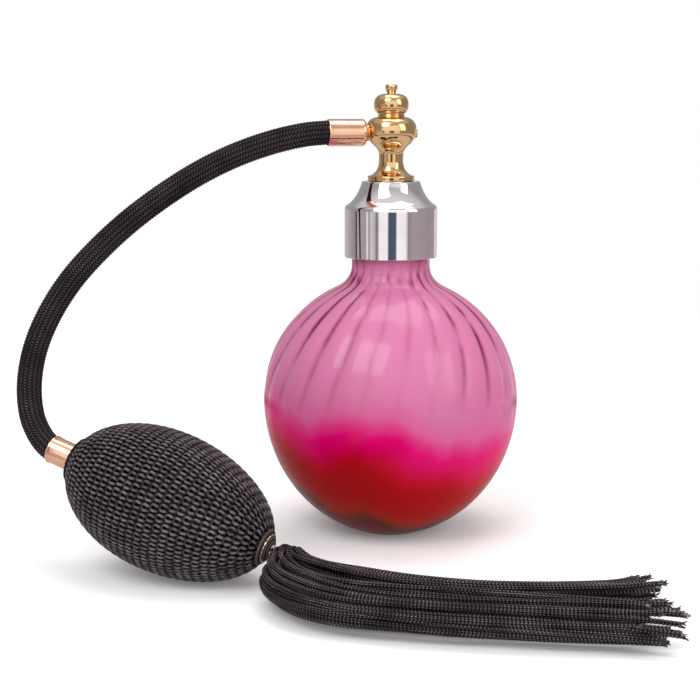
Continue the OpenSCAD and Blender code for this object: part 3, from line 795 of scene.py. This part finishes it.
def chevron_tube(soup, line, radius, sides, pitch, depth, turn):
    """A plaited cord: slanting stitches that meet in V shapes along it."""
    _, a, b = frames_along(line)
    s = lengths_along(line)
    phi = np.arange(sides) * TAU / sides
    zig = np.abs(((phi * 3 / TAU) % 1.0) - 0.5) * 2
    bulge = np.cos(TAU * (s[:, None] / pitch + 0.75 * zig[None]))
    seam = np.exp(-((zig[None] / 0.25) ** 2)) + np.exp(-(((1 - zig[None]) / 0.2) ** 2))
    radius = np.broadcast_to(np.asarray(radius, float), (len(line),))[:, None]
    r = radius * (1 - depth * 0.5 + depth * 0.5 * bulge - 0.09 * seam)
    pts = line[:, None] + spokes(a, b, phi + turn) * r[..., None]
    # Painted highlight on the stitch bulges, painted shade at the seams between them.
    tone = np.clip((0.5 + 0.5 * bulge) * (1 - 0.7 * seam), 0, 1)
    soup.grid(pts, True, line, u=s, tone=tone, cap=True)


def frayed_end(soup, line):
    """Loose threads that spread from the end of a cord."""
    heading = line[-1] - line[-6]
    heading /= np.linalg.norm(heading)
    side = np.array([heading[1], -heading[0], 0])
    threads, rings, sides = 9, 6, 5
    for _ in range(threads):
        length = rng.uniform(0.7, 1.8)
        spread, lift = rng.uniform(-0.55, 0.55), rng.uniform(-0.45, 0.45)
        start = line[-1] + side * rng.uniform(-0.5, 0.5) + np.array([0, 0, rng.uniform(-0.5, 0.5)])
        steps = np.linspace(0, 1, rings)[:, None]
        stray = side * spread + np.array([0, 0, lift])
        thread = start + heading * length * steps + stray * length * steps**1.6
        thread[:, 2] = np.maximum(thread[:, 2], 0.2)
        tube(soup, thread, np.linspace(0.24, 0.15, rings), sides)
        soup.tones[-3] = np.full(rings * sides, rng.uniform(0.3, 0.8))  # the last two are its caps


def skirt_cords():
    """Cords in three layers that wander and cross a little, each with its own length."""
    mids = smooth_line([s[0] for s in skirt_stations], 10)
    sizes = smooth_line([(s[1], s[2], 0) for s in skirt_stations], 10)
    heading = np.gradient(mids, axis=0)
    side = np.stack([heading[:, 1], -heading[:, 0], np.zeros(len(mids))], 1)
    side /= np.linalg.norm(side, axis=1)[:, None]
    up = np.array([0, 0, 1.0])
    spread = np.linspace(0, 1, len(mids))
    hump_h, hump_at, hump_w = 2.4, 0.15, 0.075
    hump = hump_h * np.exp(-(((spread - hump_at) / hump_w) ** 2))
    layers = [(40, 1.0), (24, 0.66), (11, 0.30)]  # cords, and their share of the skirt's size
    soups = [Soup() for _ in range(4)]
    for layer, (count, share) in enumerate(layers):
        for i in range(count):
            where = TAU * (i + 0.5 * layer) / count + rng.uniform(-0.06, 0.06)
            drift = rng.uniform(-0.16, 0.16)
            sway = rng.uniform(0.04, 0.11)
            beat, phase = rng.uniform(1.0, 2.2), rng.uniform(0, 1)
            swing = sway * np.sin(TAU * (spread * beat + phase)) * np.clip(spread * 4, 0, 1)
            angle = where + drift * spread**1.5 * 2 + swing
            puff = 1 + rng.uniform(-0.08, 0.03) * np.sin(TAU * (spread * beat * 0.8 + phase * 3))
            half_w = np.maximum(sizes[:, 0] / 2 * share - cord_r, 0.3) * puff
            half_h = np.maximum(sizes[:, 1] / 2 * share - cord_r, 0.3) * puff
            line = mids + side * (half_w * np.cos(angle))[:, None]
            raised = hump * max(0.0, math.sin(where)) ** 2
            line = line + up * (half_h * np.sin(angle) + raised)[:, None]
            wave = 0.45 * np.sin(TAU * (spread * rng.uniform(1.5, 3.4) + rng.uniform(0, 1)))
            line = line + side * (wave * np.clip(spread * 4 - 0.6, 0, 1))[:, None]
            line[:, 2] = np.maximum(line[:, 2], cord_r + 0.02)
            kept = 0.985 - 0.10 * rng.random() - 0.03 * np.abs(np.cos(where))
            length = lengths_along(line)[-1] * kept
            fine = layer == 0 and math.sin(where) > -0.45
            step, sides, depth = (0.225, 12, 0.30) if fine else (0.3, 7, 0.24)
            line = resample(line, int(lengths_along(line)[-1] / step))
            line = line[: int(len(line) * length / lengths_along(line)[-1])]
            soup = soups[i % 2 if fine else 2 + i % 2]
            chevron_tube(soup, line, cord_r, sides, stitch, depth, rng.uniform(0, TAU))
            if math.sin(where) > -0.6:
                frayed_end(soups[i % 2], line)
    return soups


skirt_names = ("skirt_upper_a", "skirt_upper_b", "skirt_under_a", "skirt_under_b")
for soup, name in zip(skirt_cords(), skirt_names):
    replaced = ("tassel_skirt",) if name == "skirt_upper_a" else ()
    wear(soup.build(name), cord_yarn, "tassel", replaced)


def wrapped_head():
    """A padded core under a plaited cover, on a short throat and its knot."""
    soup = Soup()
    outline = [(0.5, 0.2), (0.55, 0.85)] + bend((0.9, 1.05), (3.7, 1.2), (3.7, 3.6), 14)
    outline += bend((3.7, 3.6), (3.7, 6.2), (3.1, 7.3), 12)
    core = np.array(outline)
    line = np.stack([core[:, 1], np.zeros(len(core)), np.zeros(len(core))], 1)
    sides = 32
    phi = np.arange(sides) * TAU / sides
    ring = np.stack([np.zeros(sides), np.sin(phi), -np.cos(phi)], 1)
    pts = line[:, None] + core[:, 0, None, None] * ring[None]
    soup.grid(placed(pts, wrap_frame), True, placed(line, wrap_frame), cap=True)
    s = lengths_along(core)
    place = np.linspace(0.9, s[-1], 90)
    radius = np.interp(place, s, core[:, 0])
    x = np.interp(place, s, core[:, 1])
    strands, twist = 10, 2.3
    strand_r = np.interp(radius, (0.6, 3.6), (0.22, 0.50))
    for way in (1, -1):
        for i in range(strands):
            turn = way * twist * (place - place[0]) / s[-1] + TAU * i / strands
            weave = np.cos(strands * twist * (place - place[0]) / s[-1] + way * math.pi / 2)
            r = radius + 0.22 + 0.16 * weave
            strand = np.stack([x, r * np.sin(turn), -r * np.cos(turn)], 1)
            chevron_tube(soup, placed(strand, wrap_frame), strand_r, 8, 0.9, 0.25, 0.3)
    middle = Matrix.Translation(Vector(pivot))
    knot = resample(np.array([at(middle, 0, 0, z) for z in (-0.7, 0.7)]), 7)
    tube(soup, knot, [0.5, 0.66, 0.75, 0.75, 0.75, 0.66, 0.5], 12, up=(1, 0, 0))
    return soup.build("tassel_head")


wear(wrapped_head(), cord_yarn, "tassel", ("tassel_wrap",))

# ---- CAD nodes that keep their shape ----

cad_looks = {
    "neck_gasket": seal, "tube_plug": clear_plastic, "swivel_seal": seal, "dip_tube": tube_plastic,
    "collar_insert": clear_plastic, "head_nut": brass, "air_jet": brass, "spigot": gold,
    "outlet_valve": brass, "outlet_ball": steel, "intake_valve": brass, "intake_ball": steel,
}
for name, look in cad_looks.items():
    nodes[name].data.materials.clear()
    nodes[name].data.materials.append(look)

# ---- own mesh data for the net and the bladder ----

for piece in (*net_pieces, bulb_skin):
    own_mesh(piece)

# ---- stage and light ----


def floor():
    """A round pale floor. In mirrors it is greyer and shows a dark ring, as the edge of a table does."""
    floor_r, sides, ring_r = 0.5, 96, 0.235
    angles = [TAU * i / sides for i in range(sides)]
    corners = [(floor_r * math.cos(a), floor_r * math.sin(a), 0) for a in angles]
    mesh = bpy.data.meshes.new("floor")
    mesh.from_pydata(corners, [], [tuple(range(sides))])
    obj = bpy.data.objects.new("floor", mesh)
    obj.location.z = -0.0001
    scene.collection.objects.link(obj)
    look = Look("floor", Roughness=0.9)
    pale = look.mix(look.noise(3, 2), (0.93, 0.93, 0.93), (0.95, 0.95, 0.95))
    place = look.node("TexCoord").outputs["Object"]
    distance = look.node("VectorMath", {0: place}, operation="LENGTH").outputs["Value"]
    off_ring = look.math("ABSOLUTE", look.math("SUBTRACT", distance, ring_r))
    ring = look.math("SUBTRACT", 1, look.remap(off_ring, 0.02, 0.035))
    glossy_ray = look.node("LightPath").outputs["Is Glossy Ray"]
    shaded = look.mix(look.math("MULTIPLY", glossy_ray, 0.55), pale, (0.25, 0.22, 0.23))
    mirrored = look.math("MULTIPLY", ring, glossy_ray)
    look.link(look.mix(mirrored, shaded, (0.02, 0.015, 0.015)), "Base Color")
    look.set("Specular IOR Level", 0.1)
    look.set("Emission Color", (1, 1, 1, 1))
    look.set("Emission Strength", 0.12)
    mesh.materials.append(look.mat)


def area(name, place, aim, size, power, colour=(1, 1, 1)):
    data = bpy.data.lights.new(name, "AREA")
    data.shape = "RECTANGLE"
    data.size, data.size_y = size
    data.energy = power
    data.color = colour
    obj = bpy.data.objects.new(name, data)
    obj.location = place
    obj.rotation_euler = (Vector(aim) - Vector(place)).to_track_quat("-Z", "Y").to_euler()
    scene.collection.objects.link(obj)


def grey(v, tint=(1, 1, 1)):
    return tuple(v * c for c in tint)


def studio():
    """White to the camera. All other rays see a bright studio with darker bands."""
    world = bpy.data.worlds.new("studio")
    scene.world = world
    world.use_nodes = True
    world.node_tree.nodes.clear()
    net = Nodes(world.node_tree)
    direction = net.node("SeparateXYZ", {0: net.node("TexCoord").outputs["Generated"]})
    x, y, z = direction.outputs
    turn = net.math("ARCTAN2", x, net.math("MULTIPLY", y, -1.0))
    share = net.remap(turn, -math.pi, math.pi)
    warm, cool = (1.0, 0.88, 0.92), (0.62, 0.85, 1.1)
    bands = net.ramp(
        share,
        [
            (0.00, grey(0.85, warm)), (0.12, grey(0.68, warm)), (0.20, grey(0.46, warm)),
            (0.223, grey(0.40, warm)), (0.2245, grey(0.02)), (0.2365, grey(0.02)),
            (0.239, grey(0.62, warm)), (0.315, grey(0.52, warm)), (0.328, grey(1.25)),
            (0.342, grey(0.35, (1.0, 0.75, 0.6))), (0.352, grey(0.9)), (0.385, grey(0.75, warm)),
            (0.396, grey(0.25)), (0.405, grey(0.35)), (0.418, grey(1.35)), (0.474, grey(1.35)),
            (0.479, grey(0.16, cool)), (0.531, grey(0.19, cool)), (0.537, grey(1.4)),
            (0.600, grey(1.3)), (0.618, grey(0.38, warm)), (0.645, grey(0.55, warm)),
            (0.80, grey(0.46, warm)), (0.868, grey(0.50, warm)), (0.885, grey(0.95)),
            (1.00, grey(0.85, warm)),
        ],
    )
    broad = net.ramp(
        share,
        [
            (0.00, grey(0.50)), (0.20, grey(0.42)), (0.36, grey(0.50)), (0.40, grey(1.6)),
            (0.60, grey(1.6)), (0.64, grey(0.48)), (0.80, grey(0.42)), (1.00, grey(0.50)),
        ],
    )
    sky = net.ramp(z, [(0.0, grey(0.7)), (0.60, grey(0.62)), (0.80, grey(0.9)), (1.0, grey(1.1))])
    level = net.math("ABSOLUTE", net.math("ADD", z, 0.10))
    low = net.mix(net.remap(level, 0.12, 0.18), bands, broad)
    seen = net.mix(net.remap(z, 0.50, 0.64), low, sky)
    camera_ray = net.node("LightPath").outputs["Is Camera Ray"]
    final = net.mix(camera_ray, seen, grey(1.25))
    back = net.node("Background", {"Color": final, "Strength": 0.8})
    net.node("OutputWorld", {"Surface": back.outputs[0]})


floor()
studio()
area("key", (-0.35, -0.55, 0.75), (0, 0, 0.05), (0.5, 0.5), 3.2)
area("fill", (0.65, -0.45, 0.45), (0, 0, 0.05), (0.35, 0.6), 1.6)
area("top", (0.05, 0.15, 0.95), (0, 0, 0.05), (0.7, 0.5), 2.8)
